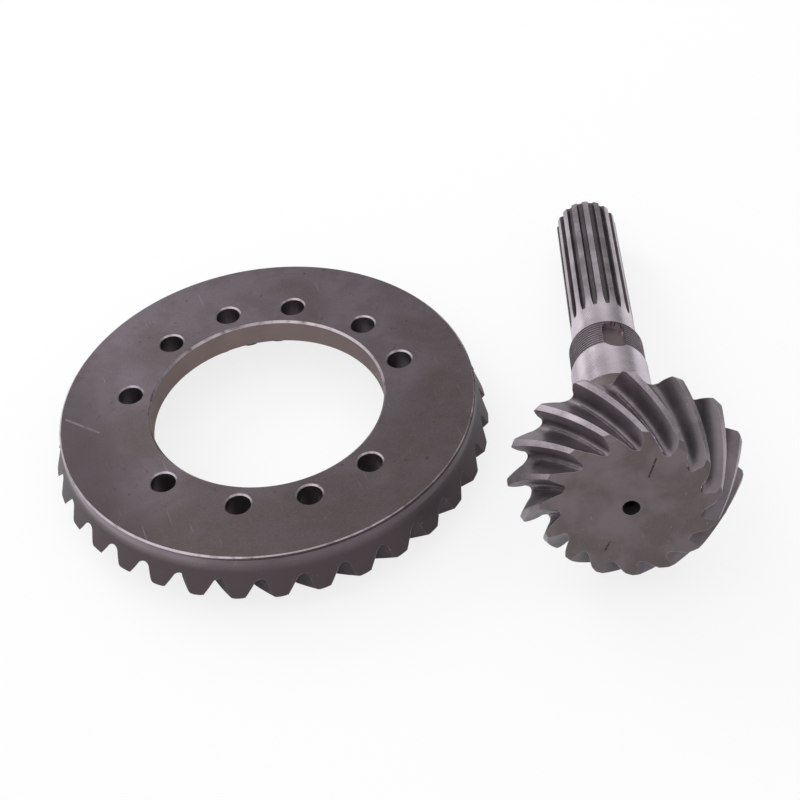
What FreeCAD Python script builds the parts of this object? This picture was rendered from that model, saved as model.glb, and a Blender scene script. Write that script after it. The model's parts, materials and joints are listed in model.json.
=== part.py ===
import FreeCAD, Part
import math
import os

from FreeCAD import Matrix, Vector

# Ring and pinion of a final drive, as they lie on a bench. The ring rests on the tips of its teeth
# with its back face up, and the pinion on a tooth tip and the free end of its spline.
# Millimetres and degrees. The origin is the middle of the ring's bolted flange, Z the ring's axis.

# Tooth pair, for shafts that cross at a right angle
ring_teeth = 34
pinion_teeth = 15
outer_module = 6.75             # at the heel, the large end of the teeth
pressure_angle = 20.0           # mean of the two flanks
flank_lean = 9.0                # by which one flank stands steeper and the other flatter
spiral_angle = 37.0             # halfway along the ring's teeth
cutter_radius = 152.0           # of the round cutter that cuts the gaps
ring_addendum = 3.0             # at the heel, as are the next three
pinion_addendum = 7.3
root_clearance = 1.1            # between a tip and the root that it runs in
pinion_tooth_thickness = 11.6   # along the pitch circle
root_rise = 0.75                # of the rounded root, for each half width of the gap
ring_face_width = 32.0
pinion_face_width = 34.0
heel_edge = 1.0                 # along the heel ends of the tooth tips

# Ring body
ring_mounting_distance = 72.0   # from where the shafts cross to the back face
heel_overhang = 6.0             # of the tooth tips past the rim
rim_height = 7.0
rim_edge = 0.9
bore_radius = 62.0
bore_edge = 1.1
flange_thickness = 15.0
toe_wall_step = 0.6             # from the tooth roots in to the wall below the flange
bolt_circle_radius = 74.5
bolt_hole_radius = 6.5
bolt_hole_edge = 0.8
bolt_angles = (0, 28, 62, 90, 118, 152, 208, 242, 270, 298)     # from X
ring_tooth_turn = 1.1           # of a tooth's middle at the heel, from X

# Pinion shaft: length of each stretch from the flat toe face on, and its radius
toe_edge = 2.1
hub_length = 36.5               # from the toe face, with the teeth
head_seat_length = 24.5
waist_length = 21.0
tail_seat_length = 30.0
thread_length = 22.0
collar_length = 21.0
spline_length = 115.0           # with the curved run-outs
hub_step = 2.0                  # from the tooth roots in to the hub
head_seat_radius = 27.5
waist_radius = 21.0
tail_seat_radius = 20.0
thread_radius = 19.5            # over the crests of a fine thread
spline_radius = 17.0
step_edge = 0.6
hub_bevel = 1.5                 # in the corner between the hub and the head bearing's seat

# Spline
spline_teeth = 16
spline_depth = 2.0
spline_gap_width = 3.7          # at the outside
spline_flank_angle = 24.0
spline_end_edge = 2.0
hob_radius = 30.0               # curves each groove up to its run-out

# Slot for staking the lock nut, in line with a groove of the spline
slot_width = 12.0
slot_length = 24.5
slot_depth = 4.0
slot_setback = 1.2              # from the thread's end

# Turning centres in both ends of the shaft
centre_radius = 4.3
centre_angle = 60.0
pilot_radius = 2.0
pilot_depth = 11.0
drill_angle = 118.0

# Place of the pinion: middle of its toe face, and the turns of its axis and about its axis
pinion_x = 131.2
pinion_y = -168.9
pinion_heading = 70.6           # of the shaft's free end, from X towards Y
slot_turn = 10.5                # of the slot from straight up
pinion_tooth_turn = -7.6        # of a tooth's middle at the heel, from the slot

# How the cutting shapes are drawn
section_count = 5               # along each tooth gap
end_overrun = 6.0               # of a gap past the toe and the heel
overcut = 1.0                   # of every cut past the surface that it leaves by


def involute(angle):
    return math.tan(angle) - angle


class BevelTeeth:
    """Spiral teeth of one gear, with the point of its pitch cone at the origin and its axis on Z.

    Each section of a gap is drawn flat in the plane that touches the back cone, as an involute gap
    of the equivalent spur gear. The sections turn along the arc of a round cutter.
    """

    def __init__(self, teeth, mate_teeth, addendum, dedendum, thickness, face_width, hand):
        self.teeth = teeth
        self.pitch_angle = math.atan2(teeth, mate_teeth)
        self.heel = outer_module * teeth / 2 / math.sin(self.pitch_angle)
        self.toe = self.heel - face_width
        self.addendum = addendum
        self.dedendum = dedendum
        self.thickness = thickness
        self.hand = hand

    def place(self, distance, height):
        """Radius and Z of a point at a cone distance and a height above the pitch cone."""
        sine, cosine = math.sin(self.pitch_angle), math.cos(self.pitch_angle)
        return distance * sine + height * cosine, distance * cosine - height * sine

    def tip_height(self, distance):
        """The tips run parallel to the other gear's roots."""
        return self.addendum - (self.heel - distance) * (self.addendum + root_clearance) / self.heel

    def root_height(self, distance):
        return -self.dedendum * distance / self.heel

    def gap_angle(self, distance, radius):
        """Half the angle of a gap on the equivalent spur gear, at a radius of that gear."""
        spur_radius = distance * math.tan(self.pitch_angle)
        slope = math.atan(math.tan(math.radians(pressure_angle)) / math.cos(math.radians(spiral_angle)))
        base_radius = spur_radius * math.cos(slope)
        there = math.acos(base_radius / max(radius, base_radius))
        half_tooth = self.thickness / 2 / (self.heel * math.tan(self.pitch_angle))
        half_tooth += involute(slope) - involute(there)
        return math.pi * math.cos(self.pitch_angle) / self.teeth - half_tooth

    def crown_angle(self, distance):
        """Angle of the cutter's arc about the middle of the crown gear."""
        middle = outer_distance - ring_face_width / 2
        offset = math.sqrt(middle ** 2 + cutter_radius ** 2
                           - 2 * middle * cutter_radius * math.sin(math.radians(spiral_angle)))
        cosine = (distance ** 2 + offset ** 2 - cutter_radius ** 2) / (2 * distance * offset)
        return math.acos(cosine)

    def turn(self, distance):
        """Turn of the gap about the gear's axis, in radians from the heel."""
        swing = self.crown_angle(self.heel) - self.crown_angle(distance)
        return self.hand * swing / math.sin(self.pitch_angle)

    def section(self, distance):
        """Closed outline of a gap at one cone distance."""
        spur_radius = distance * math.tan(self.pitch_angle)
        root = spur_radius + self.root_height(distance)
        top = spur_radius + self.tip_height(distance) + overcut
        start = root + root_rise * root * self.gap_angle(distance, root)

        def point(radius, side):
            angle = side * self.gap_angle(distance, radius)
            height = radius * math.cos(angle) - spur_radius
            across = radius * math.sin(angle) - height * math.tan(math.radians(flank_lean))
            out, up = self.place(distance, height)
            turned = math.atan2(across, out) + self.turn(distance)
            reach = math.hypot(out, across)
            return Vector(reach * math.cos(turned), reach * math.sin(turned), up)

        left, right = ([point(radius, side) for radius in (top, (top + start) / 2, start)]
                       for side in (-1, 1))
        return Part.Wire([curved_edge(left),
                          curved_edge([left[-1], point(root, 0), right[-1]]),
                          curved_edge(right[::-1]),
                          Part.makeLine(right[0], left[0])])

    def gaps(self, tooth_turn):
        """All gap cutters, with a tooth's middle at the given turn at the heel."""
        length = self.heel - self.toe + 2 * end_overrun
        distances = [self.toe - end_overrun + length * step / (section_count - 1)
                     for step in range(section_count)]
        gap = Part.makeLoft([self.section(distance) for distance in distances], True)
        gap = turned_about_z(gap, tooth_turn + 180 / self.teeth)
        return [turned_about_z(gap, 360 * number / self.teeth) for number in range(self.teeth)]


def curved_edge(points):
    """Parabola through three points."""
    first, middle, last = points
    curve = Part.BezierCurve()
    curve.setPoles([first, middle * 2 - (first + last) * 0.5, last])
    return curve.toShape()


def turned_about_z(shape, degrees):
    return shape.rotated(Vector(0, 0, 0), Vector(0, 0, 1), degrees)


def half_section(corners):
    """Face in the XZ plane through (radius, z) corners, where a third value is a chamfer."""
    spots = [Vector(corner[0], 0, corner[1]) for corner in corners]
    edges, ends = [], []
    for number, corner in enumerate(corners):
        here = spots[number]
        if len(corner) == 2:
            ends.append((here, here))
            continue
        back = (spots[number - 1] - here).normalize()
        ahead = (spots[(number + 1) % len(spots)] - here).normalize()
        ends.append((here + back * corner[2], here + ahead * corner[2]))
        edges.append(Part.makeLine(*ends[-1]))
    for number, (_, leave) in enumerate(ends):
        edges.append(Part.makeLine(leave, ends[(number + 1) % len(ends)][0]))
    return Part.Face(Part.Wire(Part.__sortEdges__(edges)))


def revolved(corners):
    return half_section(corners).revolve(Vector(0, 0, 0), Vector(0, 0, 1), 360)


# Depth of each gear's gaps below its pitch cone, and the cone distance that both share at the heel
pinion_dedendum = ring_addendum + root_clearance
ring_dedendum = pinion_addendum + root_clearance
ring_tooth_thickness = math.pi * outer_module - pinion_tooth_thickness
ring = BevelTeeth(ring_teeth, pinion_teeth, ring_addendum, ring_dedendum,
                  ring_tooth_thickness, ring_face_width, 1)
pinion = BevelTeeth(pinion_teeth, ring_teeth, pinion_addendum, pinion_dedendum,
                    pinion_tooth_thickness, pinion_face_width, -1)
outer_distance = ring.heel


def ring_blank():
    """Turned ring with solid teeth, back face at the mounting distance."""
    back = ring_mounting_distance
    front = back - flange_thickness
    heel_tip = ring.place(ring.heel, ring.tip_height(ring.heel))
    toe_tip = ring.place(ring.toe, ring.tip_height(ring.toe))
    rim_radius = heel_tip[0] - heel_overhang
    wall_radius = ring.place(ring.toe, ring.root_height(ring.toe))[0] - toe_wall_step
    # the toe ends stand square to the pitch cone, down to the wall
    wall_z = toe_tip[1] + (toe_tip[0] - wall_radius) * math.tan(ring.pitch_angle)
    return revolved([
        (bore_radius, back, bore_edge),
        (rim_radius, back, rim_edge),
        (rim_radius, back - rim_height),
        (*heel_tip, heel_edge),
        toe_tip,
        (wall_radius, wall_z),
        (wall_radius, front),
        (bore_radius, front, bore_edge),
    ])


def bolt_hole(angle):
    """Bolt hole cutter with a chamfer at the back face."""
    back = ring_mounting_distance
    shape = revolved([
        (0, back - flange_thickness - overcut),
        (bolt_hole_radius, back - flange_thickness - overcut),
        (bolt_hole_radius, back - bolt_hole_edge),
        (bolt_hole_radius + bolt_hole_edge, back),
        (bolt_hole_radius + bolt_hole_edge, back + overcut),
        (0, back + overcut),
    ])
    shape.translate(Vector(bolt_circle_radius, 0, 0))
    return turned_about_z(shape, angle)


def ring_gear():
    """Ring with its spiral teeth cut and the middle of its flange at z = 0."""
    holes = [bolt_hole(angle) for angle in bolt_angles]
    shape = ring_blank().cut(holes + ring.gaps(ring_tooth_turn))
    shape.translate(Vector(0, 0, flange_thickness / 2 - ring_mounting_distance))
    return shape


def centre_corners(end, inward):
    """Half outline of a turning centre, from the axis out to the end face."""
    cone_depth = (centre_radius - pilot_radius) / math.tan(math.radians(centre_angle / 2))
    point_depth = pilot_depth + pilot_radius / math.tan(math.radians(drill_angle / 2))
    return [
        (0, end + inward * point_depth),
        (pilot_radius, end + inward * pilot_depth),
        (pilot_radius, end + inward * cone_depth),
        (centre_radius, end),
    ]


def pinion_stations():
    """Z of each shoulder from the toe face to the free end, in the teeth's own frame."""
    z = pinion.place(pinion.toe, pinion.tip_height(pinion.toe))[1]
    stations = [z]
    for length in (hub_length, head_seat_length, waist_length, tail_seat_length,
                   thread_length, collar_length, spline_length):
        z += length
        stations.append(z)
    return stations


def pinion_blank():
    """Turned pinion with a solid head and every seat of the shaft."""
    toe, hub, head_seat, waist, tail_seat, thread, _, end = pinion_stations()
    toe_radius = pinion.place(pinion.toe, pinion.tip_height(pinion.toe))[0]
    heel_tip = pinion.place(pinion.heel, pinion.tip_height(pinion.heel))
    hub_radius = pinion.place(pinion.heel, -pinion.dedendum)[0] - hub_step
    # the heel ends stand square to the pitch cone, down to the hub
    hub_z = heel_tip[1] + (heel_tip[0] - hub_radius) * math.tan(pinion.pitch_angle)
    return revolved(centre_corners(toe, 1) + [
        (toe_radius, toe, toe_edge),
        (*heel_tip, heel_edge),
        (hub_radius, hub_z),
        (hub_radius, hub, step_edge),
        (head_seat_radius, hub, hub_bevel),
        (head_seat_radius, head_seat, step_edge),
        (waist_radius, head_seat),
        (waist_radius, waist),
        (tail_seat_radius, waist),
        (tail_seat_radius, tail_seat, (tail_seat_radius - thread_radius) / 2),
        (thread_radius, tail_seat),
        (thread_radius, thread, step_edge),
        (spline_radius, thread),
        (spline_radius, end, spline_end_edge),
    ] + centre_corners(end, -1)[::-1])


def spline_grooves():
    """Straight grooves that rise to the surface along the curve of the hob."""
    end = pinion_stations()[-1]
    root = spline_radius - spline_depth
    top = spline_radius + overcut
    runout = math.sqrt(hob_radius ** 2 - (hob_radius - spline_depth) ** 2)
    full_depth = end - spline_length + runout
    narrowing = math.tan(math.radians(spline_flank_angle))

    def half_width(radius):
        return spline_gap_width / 2 - (spline_radius - radius) * narrowing

    corners = [Vector(root, -half_width(root), full_depth), Vector(top, -half_width(top), full_depth),
               Vector(top, half_width(top), full_depth), Vector(root, half_width(root), full_depth)]
    profile = Part.Face(Part.makePolygon(corners + corners[:1]))
    straight = profile.extrude(Vector(0, 0, end + overcut - full_depth))
    rise = math.degrees(math.acos((hob_radius - spline_depth - overcut) / hob_radius))
    curved = profile.revolve(Vector(root + hob_radius, 0, full_depth), Vector(0, -1, 0), rise)
    groove = straight.fuse(curved)
    return [turned_about_z(groove, 360 * number / spline_teeth) for number in range(spline_teeth)]


def staking_slot():
    """Flat-bottomed slot with round ends, over the thread and into the seat beside it."""
    thread_end = pinion_stations()[5]
    far = thread_end - slot_setback - slot_width / 2
    near = thread_end - slot_setback - slot_length + slot_width / 2
    floor, half = thread_radius - slot_depth, slot_width / 2
    edges = [
        Part.makeLine(Vector(floor, half, near), Vector(floor, half, far)),
        Part.Arc(Vector(floor, half, far), Vector(floor, 0, far + half), Vector(floor, -half, far)).toShape(),
        Part.makeLine(Vector(floor, -half, far), Vector(floor, -half, near)),
        Part.Arc(Vector(floor, -half, near), Vector(floor, 0, near - half), Vector(floor, half, near)).toShape(),
    ]
    depth = tail_seat_radius + overcut - floor
    return Part.Face(Part.Wire(edges)).extrude(Vector(depth, 0, 0))


def pinion_shaft():
    """Pinion and its shaft in one piece, with the slot at the turn of a spline groove."""
    cuts = pinion.gaps(pinion_tooth_turn) + spline_grooves() + [staking_slot()]
    return pinion_blank().cut(cuts)


def lowest_tip():
    """Distance below the shaft's axis, and Z, of the pinion's lowest tooth corner at the heel."""
    distance = pinion.heel - heel_edge
    height = pinion.tip_height(distance)
    tip_radius, tip_z = pinion.place(distance, height)
    spur_tip = distance * math.tan(pinion.pitch_angle) + height
    half_gap = math.degrees(pinion.gap_angle(distance, spur_tip) / math.cos(pinion.pitch_angle))
    lean = math.degrees(height * math.tan(math.radians(flank_lean)) / tip_radius)
    land_turn = slot_turn + pinion_tooth_turn + math.degrees(pinion.turn(distance)) - lean
    pitch = 360 / pinion.teeth
    from_lowest = (land_turn + 180) % pitch
    corner_turn = min(from_lowest, pitch - from_lowest) - (pitch / 2 - half_gap)
    return tip_radius * math.cos(math.radians(max(corner_turn, 0))), tip_z


def lying(shape):
    """Lay the pinion on a tooth tip at the heel and on the free end of its spline."""
    toe, end = pinion_stations()[0], pinion_stations()[-1]
    tip_drop, tip_z = lowest_tip()
    length = end - spline_end_edge - tip_z
    tilt = math.atan2(tip_drop - spline_radius, length)
    bench = ring.place(ring.toe, ring.tip_height(ring.toe))[1]
    bench += flange_thickness / 2 - ring_mounting_distance
    height = bench + (tip_z - toe) * math.sin(tilt) + tip_drop * math.cos(tilt)

    heading = math.radians(pinion_heading)
    axis = Vector(math.cos(tilt) * math.cos(heading), math.cos(tilt) * math.sin(heading), -math.sin(tilt))
    side = axis.cross(Vector(0, 0, 1)).normalize()
    up = side.cross(axis)
    turn = math.radians(slot_turn)
    slot_way = up * math.cos(turn) + side * math.sin(turn)
    across = axis.cross(slot_way)
    place = Vector(pinion_x, pinion_y, height) - axis * toe
    shape.transformShape(Matrix(slot_way.x, across.x, axis.x, place.x,
                                slot_way.y, across.y, axis.y, place.y,
                                slot_way.z, across.z, axis.z, place.z,
                                0, 0, 0, 1))
    return shape


os.makedirs("parts", exist_ok=True)
ring_gear().exportStep("parts/ring_gear.step")
lying(pinion_shaft()).exportStep("parts/pinion_shaft.step")
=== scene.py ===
import json
import math

import bmesh
import bpy
from mathutils import Matrix, Vector
from mathutils.bvhtree import BVHTree


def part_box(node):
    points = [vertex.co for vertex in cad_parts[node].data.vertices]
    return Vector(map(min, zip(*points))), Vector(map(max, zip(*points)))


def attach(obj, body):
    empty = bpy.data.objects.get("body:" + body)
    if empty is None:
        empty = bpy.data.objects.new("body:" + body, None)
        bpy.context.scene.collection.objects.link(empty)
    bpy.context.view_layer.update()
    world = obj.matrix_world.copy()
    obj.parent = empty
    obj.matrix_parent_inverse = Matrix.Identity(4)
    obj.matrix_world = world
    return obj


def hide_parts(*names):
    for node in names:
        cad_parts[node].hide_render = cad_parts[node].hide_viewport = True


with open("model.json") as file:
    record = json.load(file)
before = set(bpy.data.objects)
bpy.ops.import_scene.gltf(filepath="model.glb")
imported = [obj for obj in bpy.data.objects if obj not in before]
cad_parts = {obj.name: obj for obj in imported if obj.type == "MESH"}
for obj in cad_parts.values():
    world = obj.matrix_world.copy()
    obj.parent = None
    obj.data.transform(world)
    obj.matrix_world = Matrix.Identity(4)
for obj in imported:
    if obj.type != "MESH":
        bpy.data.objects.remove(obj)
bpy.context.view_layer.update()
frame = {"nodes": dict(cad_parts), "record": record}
nodes = frame["nodes"]
mounts = {mount["name"]: mount for mount in frame["record"]["mounts"]}
print("gears loaded")

mm = 0.001


# small helpers for wiring up the nodes of a material or of the light
class Wiring:
    def __init__(self, tree):
        self.parts, self.links = tree.nodes, tree.links

    def join(self, value, socket):
        if isinstance(value, bpy.types.NodeSocket):
            self.links.new(value, socket)
        else:
            socket.default_value = value

    def calc(self, operation, *values):
        part = self.parts.new("ShaderNodeMath")
        part.operation = operation
        for number, value in enumerate(values):
            self.join(value, part.inputs[number])
        return part.outputs[0]

    def times(self, first, second):
        return self.calc("MULTIPLY", first, second)

    def reverse(self, value):      # 1 where it was 0
        return self.calc("SUBTRACT", 1.0, value)

    def vector(self, operation, *values):
        part = self.parts.new("ShaderNodeVectorMath")
        part.operation = operation
        for number, value in enumerate(values):
            self.join(value, part.inputs[3 if operation == "SCALE" and number == 1 else number])
        return part.outputs["Value" if operation in ("DOT_PRODUCT", "LENGTH") else "Vector"]

    def split(self, place):      # its X, Y and Z
        part = self.parts.new("ShaderNodeSeparateXYZ")
        self.links.new(place, part.inputs[0])
        return part.outputs

    def spread(self, value, low, high, first=0.0, last=1.0, kind="LINEAR"):      # first at low, last at high
        part = self.parts.new("ShaderNodeMapRange")
        part.interpolation_type = kind
        self.join(value, part.inputs["Value"])
        part.inputs["From Min"].default_value = low
        part.inputs["From Max"].default_value = high
        part.inputs["To Min"].default_value = first
        part.inputs["To Max"].default_value = last
        return part.outputs["Result"]

    def step(self, value, low, high):      # 0 below low, 1 above high
        return self.spread(value, low, high, kind="SMOOTHSTEP")

    def between(self, value, low, high, soft):      # 1 from low to high
        return self.times(self.step(value, low - soft, low + soft),
                          self.reverse(self.step(value, high - soft, high + soft)))

    def mix(self, share, first, second):      # two colours
        part = self.parts.new("ShaderNodeMix")
        part.data_type = "RGBA"
        self.join(share, part.inputs["Factor"])
        for value, socket in ((first, part.inputs[6]), (second, part.inputs[7])):
            self.join(value if isinstance(value, bpy.types.NodeSocket) else (*value, 1), socket)
        return part.outputs[2]

    def blend(self, share, first, second):      # the same for plain numbers
        part = self.parts.new("ShaderNodeMix")
        for value, socket in ((share, part.inputs["Factor"]), (first, part.inputs[2]), (second, part.inputs[3])):
            self.join(value, socket)
        return part.outputs[0]


# a material of its own name, with all its sizes in millimetres
class Finish(Wiring):
    def __init__(self, name):
        self.material = bpy.data.materials.new(name)
        self.material.use_nodes = True
        super().__init__(self.material.node_tree)
        self.shader = self.parts["Principled BSDF"]

    def place(self):
        part = self.parts.new("ShaderNodeTexCoord")
        return self.vector("SCALE", part.outputs["Object"], 1 / mm)

    def normal(self, kind="Normal"):
        return self.parts.new("ShaderNodeNewGeometry").outputs[kind]

    def noise(self, place, size, detail=3.0, roughness=0.55, distortion=0.0):
        part = self.parts.new("ShaderNodeTexNoise")
        self.links.new(place, part.inputs["Vector"])
        part.inputs["Scale"].default_value = 1 / size
        part.inputs["Detail"].default_value = detail
        part.inputs["Roughness"].default_value = roughness
        part.inputs["Distortion"].default_value = distortion
        return part.outputs["Fac"]

    def stretched(self, place, turn, scale):      # for marks that run one way
        part = self.parts.new("ShaderNodeMapping")
        self.links.new(place, part.inputs["Vector"])
        part.inputs["Rotation"].default_value = turn
        part.inputs["Scale"].default_value = scale
        return part.outputs["Vector"]

    def edges(self, width, low, high):      # 1 along sharp edges
        bevel = self.parts.new("ShaderNodeBevel")
        bevel.samples = 6
        bevel.inputs["Radius"].default_value = width * mm
        facing = self.vector("DOT_PRODUCT", bevel.outputs["Normal"], self.normal("True Normal"))
        return self.step(self.reverse(facing), low, high)

    def scratches(self, place, turns, amount):      # fine straight marks in a few directions
        found = None
        for number, turn in enumerate(turns):
            spot = self.vector("ADD", place, (31.7 * number, 12.3 * number, 5.1 * number))
            lines = self.noise(self.stretched(spot, (0, 0, math.radians(turn)), (1.0, 0.035, 0.3)), 0.9, 1.0)
            fade = self.noise(spot, 14.0, 1.0)
            line = self.times(self.step(lines, 0.73 - amount, 0.78 - amount), self.step(fade, 0.5, 0.62))
            found = line if found is None else self.calc("MAXIMUM", found, line)
        return found

    def stroke(self, place, start, end, width):      # one mark between two points
        start, run = Vector(start), Vector(end) - Vector(start)
        offset = self.vector("SUBTRACT", place, tuple(start))
        part = self.parts.new("ShaderNodeMath")
        part.operation, part.use_clamp = "DIVIDE", True
        self.join(self.vector("DOT_PRODUCT", offset, tuple(run)), part.inputs[0])
        part.inputs[1].default_value = run.length_squared
        nearest = self.vector("SCALE", tuple(run), part.outputs[0])
        away = self.vector("LENGTH", self.vector("SUBTRACT", offset, nearest))
        return self.reverse(self.step(away, width * 0.3, width))

    def bump(self, height, strength, depth):
        part = self.parts.new("ShaderNodeBump")
        part.inputs["Strength"].default_value = strength
        part.inputs["Distance"].default_value = depth * mm
        self.links.new(height, part.inputs["Height"])
        self.links.new(part.outputs["Normal"], self.shader.inputs["Normal"])

    def finish(self, colour, roughness, metallic):
        self.join(colour, self.shader.inputs["Base Color"])
        self.join(roughness, self.shader.inputs["Roughness"])
        self.shader.inputs["Metallic"].default_value = metallic
        return self.material


# ring gear: thin grey-mauve oxide, with clean metal along its worn edges and a painted highlight on its chamfers
ringLook = {
    "oxide": (0.106, 0.084, 0.095),
    # pale oxide in clouds, and the colour of the painted light on the back
    "paleOxideAndLight": (0.138, 0.113, 0.130),
    "oxideBrown": (0.092, 0.074, 0.074),
    "bore": (0.29, 0.225, 0.215),
    "band": (0.270, 0.225, 0.245),
    "heel": (0.090, 0.072, 0.078),
    # colour of clean metal on worn edges, grain and scratches, and of the painted highlight on the chamfers
    "edge": (0.52, 0.46, 0.50),
    "flank": (0.095, 0.080, 0.090),
    # colour of the stain spots, and of the painted shade on the back's one end and the painted shadow line below
    # the rim
    "stainAndShade": (0.040, 0.031, 0.034),
    "metallic": 0.92,
    "rough": (0.40, 0.52),
    "bandRough": 0.34,
    "wornRough": 0.28,
    "boreRadius": 62.0,
    "rimRadius": 109.6,
    "backHeight": 7.5,
    "bandHeights": (-3.0, 3.5),      # over which the turned band below the rim sets in
    "lineHeights": (5.6, 7.0),      # of the painted shadow line below the painted highlight on the rim's edge
    "toothHeights": (-9.0, -7.4),      # over which the dark of the cut teeth fades
    # painted light: the oxide grows paler towards the back
    "paintedLightBy": (-0.0002, 0.0018, 0.0),      # along X, Y and Z
    # painted shade on the back face towards this end
    "shadedEnd": (-105.0, -60.0),      # along X
    # painted sheen: the turned band is brighter towards this end
    "brightEnd": (-100.0, -25.0),
    "sizes": {"clouds": 46.0, "blots": 13.0, "grain": 1.1, "spots": 3.2, "smears": 26.0, "wear": 6.0},
    "shares": {"blots": 0.6, "spots": 0.5, "grain": 0.035, "shadedEnd": 0.6, "flank": 0.8, "band": 0.8,
               "edges": 0.6, "worn": 0.9, "marks": 0.16},
    "edgeWidth": 0.45,
    "grainDepth": 0.05,
    "scratchTurns": (18, 67, 128),
    "scratch": ((-102, 31, 7.5), (-88, 14, 7.5)),
    "scratchWidth": 0.9,
}


def ringSteel(look):
    own = Finish("ringSteel")
    sizes, shares = look["sizes"], look["shares"]
    place = own.place()
    sides = own.split(place)
    along, height = sides["X"], sides["Z"]
    radius = own.vector("LENGTH", own.vector("MULTIPLY", place, (1, 1, 0)))
    facing = own.vector("DOT_PRODUCT", own.normal(), (0, 0, 1))

    # the oxide is uneven, and a painted light makes it paler towards the back
    clouds = own.noise(own.vector("ADD", place, (90, 0, 0)), sizes["clouds"], 4.0, 0.5, 0.4)
    clouds = own.calc("ADD", clouds, own.vector("DOT_PRODUCT", place, look["paintedLightBy"]))
    blots = own.noise(own.vector("ADD", place, (50, 20, 0)), sizes["blots"], 3.0, 0.6)
    grain = own.noise(place, sizes["grain"], 2.0, 0.6)
    spots = own.noise(place, sizes["spots"], 2.0, 0.5)
    colour = own.mix(own.step(clouds, 0.36, 0.66), look["oxideBrown"], look["paleOxideAndLight"])
    colour = own.mix(own.times(own.step(blots, 0.42, 0.66), shares["blots"]), colour, look["oxide"])
    colour = own.mix(own.times(own.step(spots, 0.69, 0.76), shares["spots"]), colour, look["stainAndShade"])
    colour = own.mix(own.times(own.step(grain, 0.35, 0.75), shares["grain"]), colour, look["edge"])

    # painted shade darkens one end of the ring's back, and there a painted sheen keeps the turned band bright
    onBack = own.step(height, look["backHeight"] - 0.4, look["backHeight"] - 0.1)
    shadedEnd = own.times(own.reverse(own.step(along, *look["shadedEnd"])), onBack)
    brightEnd = own.reverse(own.step(along, *look["brightEnd"]))
    colour = own.mix(own.times(shadedEnd, shares["shadedEnd"]), colour, look["stainAndShade"])

    # turned wall of the bore, and the turned band below the back face
    inBore = own.reverse(own.step(radius, look["boreRadius"] + 0.1, look["boreRadius"] + 0.4))
    smears = own.noise(place, sizes["smears"], 3.0, 0.5)
    colour = own.mix(own.times(inBore, own.step(smears, -0.2, 0.6)), colour, look["bore"])
    outside = own.step(radius, look["rimRadius"] - 0.5, look["rimRadius"] - 0.2)
    colour = own.mix(outside, colour, look["heel"])
    onBand = own.times(outside, own.step(height, *look["bandHeights"]))
    # smears vary the band's clean metal, and the bright end adds a painted sheen
    bandCleanAndSheen = own.times(own.step(smears, -0.2, 0.7), own.blend(brightEnd, 0.42, 1.0))
    colour = own.mix(own.times(onBand, bandCleanAndSheen), colour, look["band"])
    # painted shadow: a dark line below the rim's chamfer, fainter towards the bright end
    line = own.times(outside, own.between(height, *look["lineHeights"], 0.12))
    colour = own.mix(own.times(line, own.blend(brightEnd, 0.9, 0.25)), colour, look["stainAndShade"])

    # teeth: dark where they are cut
    below = own.reverse(own.step(height, *look["toothHeights"]))
    inside = own.reverse(own.step(radius, look["rimRadius"] + 1.5, look["rimRadius"] + 4.5))
    colour = own.mix(own.times(own.times(below, inside), shares["flank"]), colour, look["flank"])

    # a painted highlight on the chamfers of the back face, half as wide at the rim's dark end, and clean metal
    # on worn edges
    wear = own.step(own.noise(place, sizes["wear"], 3.0, 0.6), 0.22, 0.55)
    atRim = own.step(radius, look["rimRadius"] - 2.0, look["rimRadius"] - 1.5)
    lowered = own.calc("SUBTRACT", height, own.times(own.times(atRim, own.reverse(brightEnd)), 0.65))
    slanting = own.between(facing, 0.25, 0.93, 0.04)
    chamferHighlight = own.times(slanting, own.step(lowered, look["backHeight"] - 1.3, look["backHeight"] - 1.1))
    # the edge mask holds the painted chamfer highlight and the real worn edges
    edge = own.calc("MAXIMUM", chamferHighlight, own.times(own.edges(look["edgeWidth"], 0.035, 0.16), shares["edges"]))
    worn = own.times(edge, wear)
    colour = own.mix(own.times(worn, shares["worn"]), colour, look["edge"])
    scratch = own.times(own.stroke(place, *look["scratch"], look["scratchWidth"]), wear)
    marks = own.calc("MAXIMUM", own.scratches(place, look["scratchTurns"], 0.0), scratch)
    colour = own.mix(own.times(marks, shares["marks"]), colour, look["edge"])

    rough = own.blend(clouds, *look["rough"])
    rough = own.blend(own.times(onBand, shares["band"]), rough, look["bandRough"])
    rough = own.blend(worn, rough, look["wornRough"])
    own.bump(grain, 0.28, look["grainDepth"])
    return own.finish(colour, rough, look["metallic"])


def placed(mesh, name):      # as an object of the scene
    data = bpy.data.meshes.new(name)
    mesh.to_mesh(data)
    mesh.free()
    made = bpy.data.objects.new(name, data)
    bpy.context.collection.objects.link(made)
    return made


def skin(mesh, rings):      # closed tube through rings of corners
    for before, after in zip(rings, rings[1:]):
        for number in range(len(before)):
            following = (number + 1) % len(before)
            mesh.faces.new((before[number], before[following], after[following], after[number]))
    mesh.faces.new(rings[0][::-1])
    mesh.faces.new(rings[-1])


# plain copy of a node's mesh, joined up so that it can be cut
def joinedCopy(source, name):
    mesh = bmesh.new()
    mesh.from_mesh(source.data)
    bmesh.ops.remove_doubles(mesh, verts=mesh.verts, dist=0.0005 * mm)
    bmesh.ops.dissolve_degenerate(mesh, edges=mesh.edges, dist=0.0005 * mm)
    bmesh.ops.recalc_face_normals(mesh, faces=mesh.faces)
    gear = placed(mesh, name)
    for attribute in [found for found in gear.data.attributes if found.name == "custom_normal"]:
        gear.data.attributes.remove(attribute)
    return gear


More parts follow.
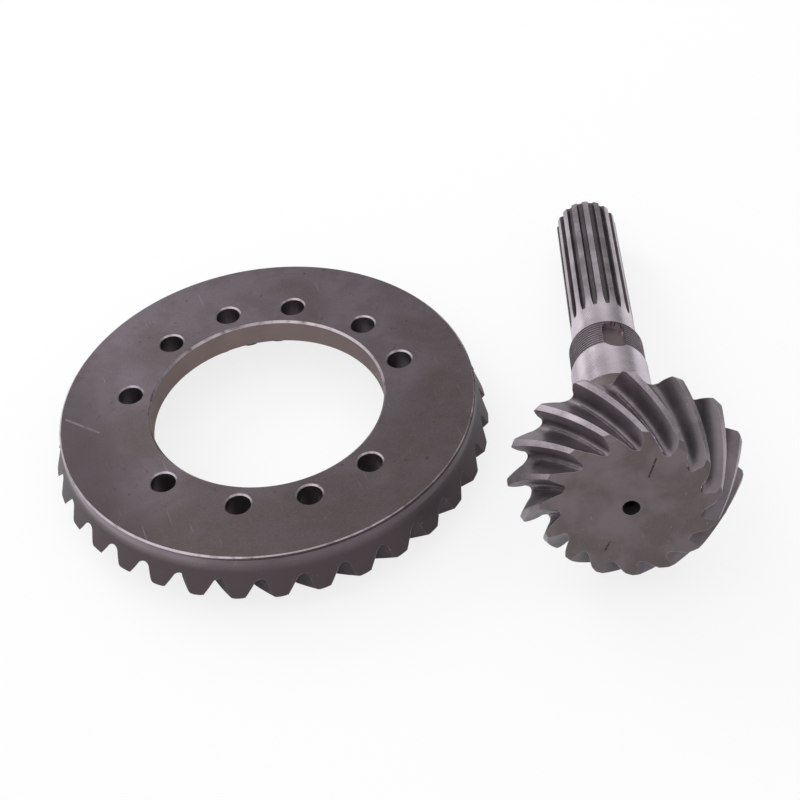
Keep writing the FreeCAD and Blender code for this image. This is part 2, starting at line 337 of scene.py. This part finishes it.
def cutAway(gear, mesh):
    bmesh.ops.recalc_face_normals(mesh, faces=mesh.faces)
    cutter = placed(mesh, "cutter")
    change = gear.modifiers.new("cut", "BOOLEAN")
    change.operation, change.solver, change.object = "DIFFERENCE", "EXACT", cutter
    bpy.context.view_layer.update()
    done = bpy.data.meshes.new_from_object(gear.evaluated_get(bpy.context.evaluated_depsgraph_get()))
    gear.modifiers.clear()
    gear.data = done
    bpy.data.objects.remove(cutter)


shading = {
    "sharpAngle": 24,      # degrees between two faces
    "level": 0.09,      # by which the corners of a turned face may stray from its line
    "turned": 0.995,      # share of a turned face's normal that lies in the plane of the axis
}


# sharp edges stay sharp, and every turned surface gets its true round normals
def shadeTurned(data, middle, axis):
    data.shade_smooth()
    data.set_sharp_from_angle(angle=math.radians(shading["sharpAngle"]))
    spots = [(vertex.co - middle) / mm for vertex in data.vertices]
    lengths = [spot.dot(axis) for spot in spots]
    outs = [spot - axis * length for spot, length in zip(spots, lengths)]
    radii = [out.length for out in outs]
    loopNormals = [(0, 0, 0)] * len(data.loops)
    for face in data.polygons:
        spot = face.center - middle
        outward = (spot - axis * spot.dot(axis)).normalized()
        out, along = face.normal.dot(outward), face.normal.dot(axis)
        levels = [radii[corner] * out + lengths[corner] * along for corner in face.vertices]
        if max(levels) - min(levels) > shading["level"] or math.hypot(out, along) < shading["turned"]:
            continue
        for loop, corner in zip(face.loop_indices, face.vertices):
            if radii[corner] > 0.01:      # a corner on the axis has no outward side
                loopNormals[loop] = tuple((outs[corner] / radii[corner] * out + axis * along).normalized())
    data.normals_split_custom_set(loopNormals)


# rounding of the ring's tooth tips
tipRound = {
    "toeRadius": 86.25,      # the tips' line, at the toe and at the heel
    "toeHeight": -28.58,
    "heelRadius": 115.95,
    "heelHeight": -16.6,
    "toeReach": 1.5,      # from the corner along the land and along the flank
    "heelReach": 2.9,
    "overrun": 1.6,
    "clearance": 0.4,      # of the cutter outside the tooth, and more at its corner
    "cornerClearance": 0.6,
    "shortest": 15.0,
    "arcSteps": 6,
}


def tipEdges(mesh, tip, hand):      # the edges between the teeth's lands and the flanks of one hand
    line = Vector((tip["heelRadius"] - tip["toeRadius"], tip["heelHeight"] - tip["toeHeight"])).normalized()
    found = []

    def onLand(face):
        middle = face.calc_center_median() / mm
        radius = math.hypot(middle.x, middle.y)
        off = (radius - tip["toeRadius"]) * line.y - (middle.z - tip["toeHeight"]) * line.x
        outward = Vector((middle.x / radius * line.y, middle.y / radius * line.y, -line.x))
        return abs(off) < 0.15 and face.normal.dot(outward) > 0.98

    lands = {face for face in mesh.faces if onLand(face)}
    for edge in mesh.edges:
        faces = edge.link_faces
        if len(faces) == 2 and (faces[0] in lands) != (faces[1] in lands):
            land, flank = faces if faces[0] in lands else faces[::-1]
            middle = (edge.verts[0].co + edge.verts[1].co) / 2
            around = Vector((-middle.y, middle.x, 0)).normalized()
            if flank.normal.dot(around) * hand > 0.5 and land.normal.dot(flank.normal) < 0.8:
                found.append((edge, land.normal.copy(), flank.normal.copy()))
    return found


def edgeChains(touching, shortest):      # the vertices in order along each run of edges
    left = set(touching)
    while True:
        ends = [vertex for vertex in left if len(touching[vertex]) == 1]
        if not ends:
            return
        chain, used = [min(ends, key=lambda vertex: vertex.index)], set()
        while True:
            onward = [edge for edge, land, flank in touching[chain[-1]] if edge not in used]
            if not onward:
                break
            used.add(onward[0])
            chain.append(onward[0].other_vert(chain[-1]))
        left -= set(chain)
        if (chain[0].co - chain[-1].co).length >= shortest * mm:
            yield chain


def tipOutline(tip, spot, land, flank):      # of what is cut from the corner at one spot
    alongLand = -(flank - land * flank.dot(land)).normalized()
    alongFlank = -(land - flank * land.dot(flank)).normalized()
    outward = (math.hypot(spot.x, spot.y) / mm - tip["toeRadius"]) / (tip["heelRadius"] - tip["toeRadius"])
    reach = (tip["toeReach"] + (tip["heelReach"] - tip["toeReach"]) * outward) * mm
    radius = reach * math.tan(alongLand.angle(alongFlank) / 2)
    centre = spot + alongLand * reach - land * radius
    arc = [centre + land.slerp(flank, step / tip["arcSteps"]) * radius for step in range(tip["arcSteps"] + 1)]
    return arc + [arc[-1] + flank * tip["clearance"] * mm,
                  spot + (land + flank) * tip["cornerClearance"] * mm,
                  arc[0] + land * tip["clearance"] * mm]


def tipCutters(gear, tip, hand):
    mesh = bmesh.new()
    mesh.from_mesh(gear.data)
    mesh.normal_update()
    touching = {}
    for edge, land, flank in tipEdges(mesh, tip, hand):
        for vertex in edge.verts:
            touching.setdefault(vertex, []).append((edge, land, flank))
    cutters = bmesh.new()
    chains = list(edgeChains(touching, tip["shortest"]))
    for chain in chains:
        spots = [vertex.co.copy() for vertex in chain]
        spots[0] += (spots[0] - spots[1]).normalized() * tip["overrun"] * mm
        spots[-1] += (spots[-1] - spots[-2]).normalized() * tip["overrun"] * mm
        rings = []
        for spot, vertex in zip(spots, chain):
            land = sum((item[1] for item in touching[vertex]), Vector()).normalized()
            flank = sum((item[2] for item in touching[vertex]), Vector()).normalized()
            rings.append([cutters.verts.new(point) for point in tipOutline(tip, spot, land, flank)])
        skin(cutters, rings)
    mesh.free()
    print("tooth tip edges to round:", len(chains))
    return cutters


# both hands are found before the first is cut, and cut one after the other
ringGear = joinedCopy(nodes["ring_gear"], "ringGear")
tipRounds = [tipCutters(ringGear, tipRound, hand) for hand in (1, -1)]
for cutters in tipRounds:
    cutAway(ringGear, cutters)
shadeTurned(ringGear.data, Vector((0, 0, 0)), Vector((0, 0, 1)))
ringGear.data.materials.clear()
ringGear.data.materials.append(ringSteel(ringLook))
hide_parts("ring_gear")
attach(ringGear, "root")
print("ring gear done, faces:", len(ringGear.data.polygons))

# pinion: lengths in millimetres from its toe face along the shaft
pinionLook = {
    "heelLength": 30.2,
    "hubEnd": 36.5,
    "headSeatEnd": 61.0,
    "waistEnd": 82.0,
    "tailSeatEnd": 112.0,
    "threadMiddle": 123.0,
    "threadEnd": 134.0,
    "collarEnd": 155.0,
    "shaftEnd": 270.0,
    "toeTipRadius": 41.49,
    "tipSlope": 0.5237,
    "toeEdge": 1.6,
    "headSeatRadius": 27.5,
    "threadRadius": 19.5,
    "slotRadius": 16.9,
    "splineRadius": 17.0,
    "centreHoleRadius": 4.2,
}
threadCut = {
    "pitch": 2.0,
    "depth": 1.15,
    "flankAngle": 30,
    "floorHalf": 0.2,      # half the width of the groove's floor
    "proud": 0.15,      # of the cutter above the crests
    "stop": 0.4,      # before the end of the thread at the seat
    "stepsPerTurn": 72,
    "runOut": 0.5,      # turns in which the groove rises out at the seat
}
axis = Vector(mounts["pinion_thread"]["axis"]).normalized()
toeMiddle = Vector(mounts["pinion_thread"]["pos_m"]) - axis * pinionLook["threadMiddle"] * mm
side = axis.cross(Vector((0, 0, 1))).normalized()
top = side.cross(axis)


def threadCutter(look, cut):      # winds right-handed from the collar to the tail seat
    mesh = bmesh.new()
    length = look["threadEnd"] - look["tailSeatEnd"]
    start = look["threadEnd"] + cut["pitch"]
    turns = (length + cut["pitch"] - cut["stop"]) / cut["pitch"]
    slope = math.tan(math.radians(cut["flankAngle"]))
    rings = []
    for number in range(int(turns * cut["stepsPerTurn"]) + 1):
        turn = number / cut["stepsPerTurn"]
        left = turns - turn
        rise = cut["depth"] * max(0.0, 1 - left / cut["runOut"]) ** 2
        floor = look["threadRadius"] - cut["depth"] + rise
        rim = look["threadRadius"] + cut["proud"] + rise
        half = cut["floorHalf"] + (rim - floor) * slope
        along = start - turn * cut["pitch"]
        angle = -2 * math.pi * turn
        out = top * math.cos(angle) - side * math.sin(angle)
        corners = ((floor, -cut["floorHalf"]), (floor, cut["floorHalf"]), (rim, half), (rim, -half))
        rings.append([mesh.verts.new(toeMiddle + (out * radius + axis * (along + shift)) * mm)
                      for radius, shift in corners])
    skin(mesh, rings)
    return mesh


def station(place):      # length along the shaft and distance from its axis
    fromToe = (place - toeMiddle) / mm
    along = fromToe.dot(axis)
    return along, (fromToe - axis * along).length


def toothFinish(look, along, radius, facingOut, facingAlong):
    tilt = math.atan(look["tipSlope"])
    below = (look["toeTipRadius"] + look["tipSlope"] * along - radius) * math.cos(tilt)
    if below < 0.08 and facingOut * math.cos(tilt) - facingAlong * math.sin(tilt) > 0.985:
        return "toothLand"
    if abs(facingAlong) > 0.85:
        return "turnedFace"
    if below < look["toeEdge"] and facingAlong < -0.6 and facingOut > 0.5:
        return "toeEdge"
    return "toothFlank"


def shaftFinish(look, along, radius, facingOut, facingAlong):
    turned = facingOut > 0.5 or abs(facingAlong) > 0.5
    if along < look["hubEnd"] + 0.2 or along > look["shaftEnd"] - 0.05:
        return "turnedFace"
    if along < look["headSeatEnd"]:
        return "groundSteel"
    if along < look["waistEnd"] + 0.05:
        return "turnedFace"
    if radius < look["splineRadius"] - 0.03 and along > look["collarEnd"] - 1:
        return "splineGroove"
    if along > look["threadEnd"] + 0.05:
        return "groundSteel"
    if radius < look["threadRadius"] - 1.3:
        return "slotWall" if along < look["threadEnd"] - 0.2 and radius < look["slotRadius"] else "groundSteel"
    if along <= look["tailSeatEnd"] + 0.05:
        return "groundSteel" if turned else "slotWall"
    if radius > look["threadRadius"] - 0.1 and facingOut > 0.9:
        return "threadCrest"
    return "threadSteel" if turned or facingOut > 0.3 else "slotWall"


def finishOf(face, look):
    along, radius = station(face.center)
    outward = (face.center - toeMiddle - axis * along * mm).normalized()
    facingOut, facingAlong = face.normal.dot(outward), face.normal.dot(axis)
    # the centre hole's cone gets painted shade
    if radius < look["centreHoleRadius"] and 0.02 < along < look["shaftEnd"] - 0.02:
        return "centreHoleShade"
    onTeeth = along < look["heelLength"] + 3 and radius > look["headSeatRadius"] + 2
    return (toothFinish if onTeeth else shaftFinish)(look, along, radius, facingOut, facingAlong)


pinionShaft = joinedCopy(nodes["pinion_shaft"], "pinionShaft")
cutAway(pinionShaft, threadCutter(pinionLook, threadCut))
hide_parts("pinion_shaft")
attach(pinionShaft, "root")
print("pinion threaded, faces:", len(pinionShaft.data.polygons))

# each finish has a darker colour, and a paler one that comes through in clouds and grain
steel = {
    "toothFlank": {"colour": (0.155, 0.134, 0.148), "pale": (0.225, 0.195, 0.212), "rough": 0.42, "grain": 0.25},
    "toothLand": {"colour": (0.26, 0.225, 0.25), "pale": (0.44, 0.39, 0.43), "rough": 0.40, "grain": 0.60},
    "toeEdge": {"colour": (0.120, 0.100, 0.100), "pale": (0.172, 0.143, 0.151), "rough": 0.46, "grain": 0.25},
    "turnedFace": {"colour": (0.130, 0.109, 0.107), "pale": (0.184, 0.154, 0.163), "rough": 0.46, "grain": 0.25},
    "groundSteel": {"colour": (0.54, 0.475, 0.53), "pale": (0.68, 0.61, 0.665), "rough": 0.24, "grain": 0.06},
    "threadSteel": {"colour": (0.105, 0.088, 0.098), "pale": (0.15, 0.128, 0.142), "rough": 0.40, "grain": 0.20},
    "threadCrest": {"colour": (0.33, 0.285, 0.32), "pale": (0.43, 0.38, 0.42), "rough": 0.34, "grain": 0.20},
    "slotWall": {"colour": (0.14, 0.112, 0.118), "pale": (0.19, 0.155, 0.16), "rough": 0.45, "grain": 0.40},
    "splineGroove": {"colour": (0.075, 0.060, 0.067), "pale": (0.12, 0.098, 0.11), "rough": 0.42, "grain": 0.30},
    # painted shade: the centre hole's steel made near black
    "centreHoleShade": {"colour": (0.018, 0.015, 0.016), "pale": (0.028, 0.023, 0.024), "rough": 0.6, "grain": 0.2},
}
steelWear = {      # on all of them
    "bright": (0.66, 0.60, 0.65),
    "metallic": 0.92,
    "wornRough": 0.28,
    "sizes": {"clouds": 17.0, "grain": 1.1, "spots": 2.6, "wear": 4.0},
    "shares": {"worn": 0.6, "marks": 0.25},
    "edgeWidth": 0.45,
    "grainDepth": 0.04,
    "scratchTurns": (35, 110),
}
splineLand = {"colour": (0.27, 0.235, 0.26), "pale": (0.44, 0.385, 0.43), "fade": (153.0, 172.0)}
toeMarks = {      # sideways and upwards from the middle of the toe face, start and end
    "marks": (((11.6, 27.4), (8.3, 17.4)), ((-10.4, -19.6), (-12.8, -24.2))),
    "width": 0.7,
    "colour": (0.045, 0.036, 0.038),
}


def pinionSteel(name, look, wear):
    own = Finish(name)
    sizes, shares = wear["sizes"], wear["shares"]
    place = own.place()
    clouds = own.noise(place, sizes["clouds"], 4.0, 0.55, 0.3)
    shade = own.step(clouds, 0.36, 0.68)
    colour = own.mix(shade, look["colour"], look["pale"])
    if name == "groundSteel":      # the spline's lands are duller than the seats and the collar
        along = own.vector("DOT_PRODUCT", own.vector("SUBTRACT", place, tuple(toeMiddle / mm)), tuple(axis))
        lands = own.mix(shade, splineLand["colour"], splineLand["pale"])
        colour = own.mix(own.step(along, *splineLand["fade"]), colour, lands)
    grain = own.noise(place, sizes["grain"], 3.0, 0.7)
    colour = own.mix(own.times(own.step(grain, 0.40, 0.70), look["grain"]), colour, look["pale"])
    spots = own.step(own.noise(place, sizes["spots"], 2.0, 0.5), 0.66, 0.74)
    colour = own.mix(own.times(spots, look["grain"]), colour, look["colour"])
    rubbed = own.step(own.noise(place, sizes["wear"], 3.0, 0.6), 0.28, 0.58)
    worn = own.times(own.edges(wear["edgeWidth"], 0.04, 0.2), rubbed)
    colour = own.mix(own.times(worn, shares["worn"]), colour, wear["bright"])
    marks = own.scratches(place, wear["scratchTurns"], -0.01)
    colour = own.mix(own.times(marks, shares["marks"]), colour, wear["bright"])
    if name == "turnedFace":
        for ends in toeMarks["marks"]:
            start, end = ((toeMiddle / mm + side * across + top * up) for across, up in ends)
            mark = own.stroke(place, start, end, toeMarks["width"])
            colour = own.mix(own.times(mark, own.step(grain, 0.3, 0.55)), colour, toeMarks["colour"])
    rough = own.blend(clouds, look["rough"] - 0.05, look["rough"] + 0.07)
    rough = own.blend(worn, rough, wear["wornRough"])
    own.bump(grain, 0.25 if look["grain"] > 0.1 else 0.02, wear["grainDepth"])      # ground steel is smooth
    return own.finish(colour, rough, wear["metallic"])


pinionShaft.data.materials.clear()
for name, look in steel.items():
    pinionShaft.data.materials.append(pinionSteel(name, look, steelWear))
order = list(steel)
for face in pinionShaft.data.polygons:
    face.material_index = order.index(finishOf(face, pinionLook))
shadeTurned(pinionShaft.data, toeMiddle, axis)

# fine ridges that the cutter leaves along one side of each tooth gap
ridges = {
    "teeth": 15,
    "from": 1.2,
    "to": 29.0,
    "steps": 22,
    "offsets": (0.1, 1.2),      # from the deepest line of the gap towards its flat flank
    "width": 0.6,
    "height": 0.42,
    "foot": 0.15,      # sunk into the flank
    "feel": 0.2,      # to the spot beside, which tells which way the flank runs
    "searchRadius": 70.0,
    "tries": 40,      # to each side, for the deepest line
}


def ridgeStrips(gear, cut):
    tree = BVHTree.FromPolygons([vertex.co for vertex in gear.data.vertices],
                                [face.vertices for face in gear.data.polygons])

    def surface(along, angle):
        out = top * math.cos(angle) + side * math.sin(angle)
        start = toeMiddle + (axis * along + out * cut["searchRadius"]) * mm
        spot, normal, _, _ = tree.ray_cast(start, -out)
        return spot, normal

    pitch = 2 * math.pi / cut["teeth"]
    tries = range(-cut["tries"], cut["tries"] + 1)
    middle, window = 0, pitch / 2      # a whole gap at first, then close to the last find
    rows = []
    for step in range(cut["steps"] + 1):
        along = cut["from"] + (cut["to"] - cut["from"]) * step / cut["steps"]
        middle = min((middle + window * number / cut["tries"] for number in tries),
                     key=lambda angle: station(surface(along, angle)[0])[1])
        rows.append((along, middle, station(surface(along, middle)[0])[1]))
        window = pitch / 6
    mesh = bmesh.new()
    for offset in cut["offsets"]:
        rings = []
        for along, middle, radius in rows:
            angle = middle - offset / radius
            spot, normal = surface(along, angle)
            beside, _ = surface(along, angle + cut["feel"] / radius)
            across = (beside - spot).normalized()
            half = cut["width"] / 2 * mm
            rings.append([spot - across * half - normal * cut["foot"] * mm,
                          spot + across * half - normal * cut["foot"] * mm,
                          spot + normal * cut["height"] * mm])
        for number in range(cut["teeth"]):
            turned = Matrix.Rotation(pitch * number, 3, axis)
            skin(mesh, [[mesh.verts.new(toeMiddle + turned @ (point - toeMiddle)) for point in ring]
                        for ring in rings])
    bmesh.ops.recalc_face_normals(mesh, faces=mesh.faces)
    return placed(mesh, "cutterRidges")


cutterRidges = ridgeStrips(pinionShaft, ridges)
cutterRidges.data.materials.append(pinionShaft.data.materials[order.index("toothLand")])
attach(cutterRidges, "root")
print("pinion done")

# bench, white to the eye and keeping the gears' shadow
benchLook = {
    "colour": (0.93, 0.93, 0.94, 1),
    "rough": 0.9,
    "white": 0.80,      # share of plain white that the eye sees
    "size": 12,
    "gap": 0.1,      # below the ring's teeth
}
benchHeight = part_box("ring_gear")[0][2] - benchLook["gap"] * mm
bpy.ops.mesh.primitive_plane_add(size=benchLook["size"], location=(0, 0, benchHeight))
bench = bpy.context.object
bench.name = "bench"
own = Finish("whiteBench")
own.shader.inputs["Base Color"].default_value = benchLook["colour"]
own.shader.inputs["Roughness"].default_value = benchLook["rough"]
toEye = own.parts.new("ShaderNodeLightPath").outputs["Is Camera Ray"]
glow = own.parts.new("ShaderNodeEmission")
glow.inputs["Strength"].default_value = 1.0
cover = own.parts.new("ShaderNodeMixShader")
own.links.new(own.times(toEye, benchLook["white"]), cover.inputs["Fac"])
own.links.new(own.shader.outputs["BSDF"], cover.inputs[1])
own.links.new(glow.outputs["Emission"], cover.inputs[2])
own.links.new(cover.outputs["Shader"], own.parts["Material Output"].inputs["Surface"])
bench.data.materials.append(own.material)
print("bench laid")

# white tent: dimmer towards the horizon, with walls that give the round steel its bands
tent = {
    "horizon": 0.42,
    "roof": 1.05,
    "roofRise": 0.9,
    "walls": ((0.0, 1.7), (0.12, 1.6), (0.29, 1.3), (0.42, 0.85),      # from one side to the other
              (0.58, 0.8), (0.69, 1.08), (0.84, 0.62), (1.0, 0.3)),
}
world = bpy.data.worlds.new("tent")
bpy.context.scene.world = world
world.use_nodes = True
air = Wiring(world.node_tree)
way = air.split(air.parts.new("ShaderNodeTexCoord").outputs["Generated"])
rise = air.spread(way["Z"], 0.0, tent["roofRise"], tent["horizon"], tent["roof"])
walls = air.parts.new("ShaderNodeFloatCurve")
air.links.new(air.spread(way["X"], -1.0, 1.0), walls.inputs["Value"])
curve = walls.mapping.curves[0]      # goes no higher than 1, so its levels are halved and doubled again
firstWall, *otherWalls, lastWall = [(spot, level / 2) for spot, level in tent["walls"]]
curve.points[0].location = firstWall
for spot, level in otherWalls:
    curve.points.new(spot, level)
curve.points[-1].location = lastWall
walls.mapping.update()
glare = air.times(air.times(rise, walls.outputs["Value"]), 2.0)
toEye = air.parts.new("ShaderNodeLightPath").outputs["Is Camera Ray"]
sky = air.parts["Background"]
air.links.new(air.blend(toEye, glare, 1.0), sky.inputs["Strength"])
sky.inputs["Color"].default_value = (1, 1, 1, 1)


def aimed(place, aim):
    return Matrix.Translation(place) @ (aim - place).to_track_quat("-Z", "Y").to_matrix().to_4x4()


backBox = {
    "place": Vector((-0.55, 1.5, 1.05)),
    "aim": Vector((0, 0, 0)),
    "size": (1.0, 0.7),
    "power": 10,
}
light = bpy.data.lights.new("backBox", "AREA")
light.shape, light.energy = "RECTANGLE", backBox["power"]
light.size, light.size_y = backBox["size"]
lamp = bpy.data.objects.new("backBox", light)
bpy.context.collection.objects.link(lamp)
lamp.matrix_world = aimed(backBox["place"], backBox["aim"])
print("light set")

shot = {
    "place": Vector((-0.1139, -0.6898, 0.6603)),
    "aim": Vector((0.0641, -0.0301, 0.0075)),
    "roll": -6.93,
    "lens": 81.53,
    "sensor": 36,
}
cameraData = bpy.data.cameras.new("camera")
cameraData.lens = shot["lens"]
cameraData.sensor_width = shot["sensor"]
camera = bpy.data.objects.new("camera", cameraData)
bpy.context.collection.objects.link(camera)
camera.matrix_world = aimed(shot["place"], shot["aim"]) @ Matrix.Rotation(math.radians(shot["roll"]), 4, "Z")
bpy.context.scene.camera = camera
bpy.context.scene.view_settings.view_transform = "Standard"
print("camera set")
